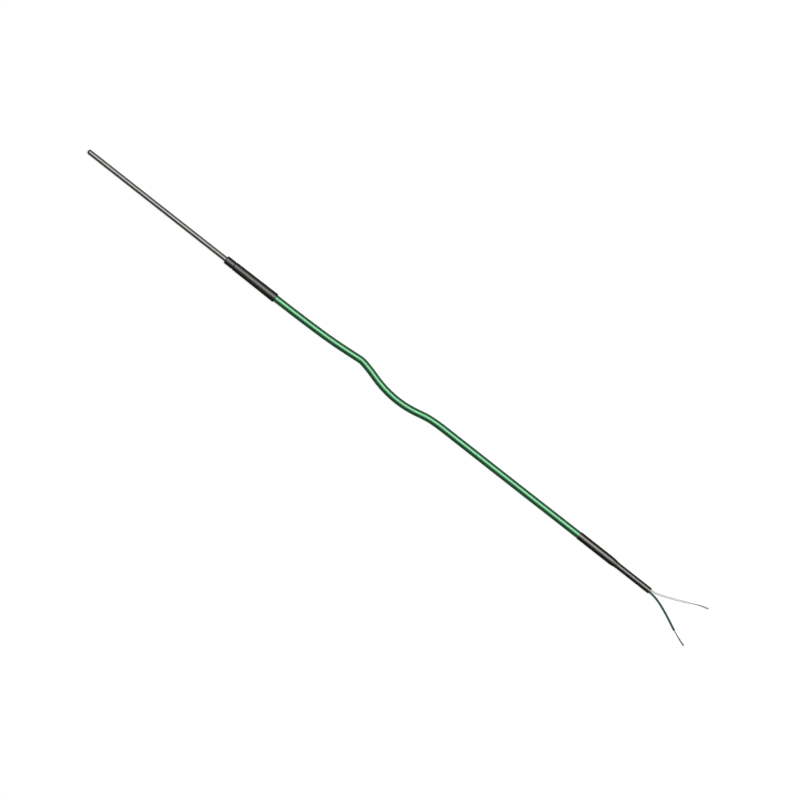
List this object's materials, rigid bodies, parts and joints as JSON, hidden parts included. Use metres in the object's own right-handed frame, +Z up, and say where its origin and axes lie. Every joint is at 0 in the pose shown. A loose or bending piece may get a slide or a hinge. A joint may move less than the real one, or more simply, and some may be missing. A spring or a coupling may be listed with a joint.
{
  "type": "thermocouple probe",
  "caption": "Thin metal-sheathed thermocouple probe with a domed tip, a black sleeved joint, a flexible green cable and bare-ended green and white tails.",
  "frame": {"origin": "on the sheath's axis at the front face of the joint sleeves", "axes": "-X along the sheath to its domed tip, +X back along the cable to the tails, +Z up from the surface that the probe lies on"},
  "size_m": [0.4415, 0.0262, 0.0054],
  "materials": {
    "sheath_steel": "drawn stainless tube with fine lengthwise lines",
    "magnesia": "packed white oxide powder",
    "junction_bead": "dull weld bead",
    "positive_alloy": "bright drawn nickel-chromium wire",
    "negative_alloy": "bright drawn nickel wire",
    "pot_steel": "drawn stainless tube, swaged",
    "potting_resin": "dark cast resin",
    "splice_metal": "nickel-plated crimp ferrule",
    "joint_sleeve": "satin black shrink sleeve",
    "jacket_green": "smooth green soft plastic",
    "core_green": "smooth green soft plastic",
    "core_white": "smooth white soft plastic",
    "tail_sleeve": "glossy black shrink sleeve"
  },
  "bodies": {
    "root": {"sheath": "sheath_steel", "magnesia": "magnesia", "hot_junction": "junction_bead", "positive_thermoelement": "positive_alloy", "negative_thermoelement": "negative_alloy", "pot": "pot_steel", "potting_resin": "potting_resin", "positive_splice": "splice_metal", "negative_splice": "splice_metal", "inner_sleeve": "joint_sleeve", "outer_sleeve": "joint_sleeve", "cable_jacket": "jacket_green", "positive_core_insulation": "core_green", "negative_core_insulation": "core_white", "positive_conductor": "positive_alloy", "negative_conductor": "negative_alloy", "tail_sleeve": "tail_sleeve"}
  },
  "joints": []
}
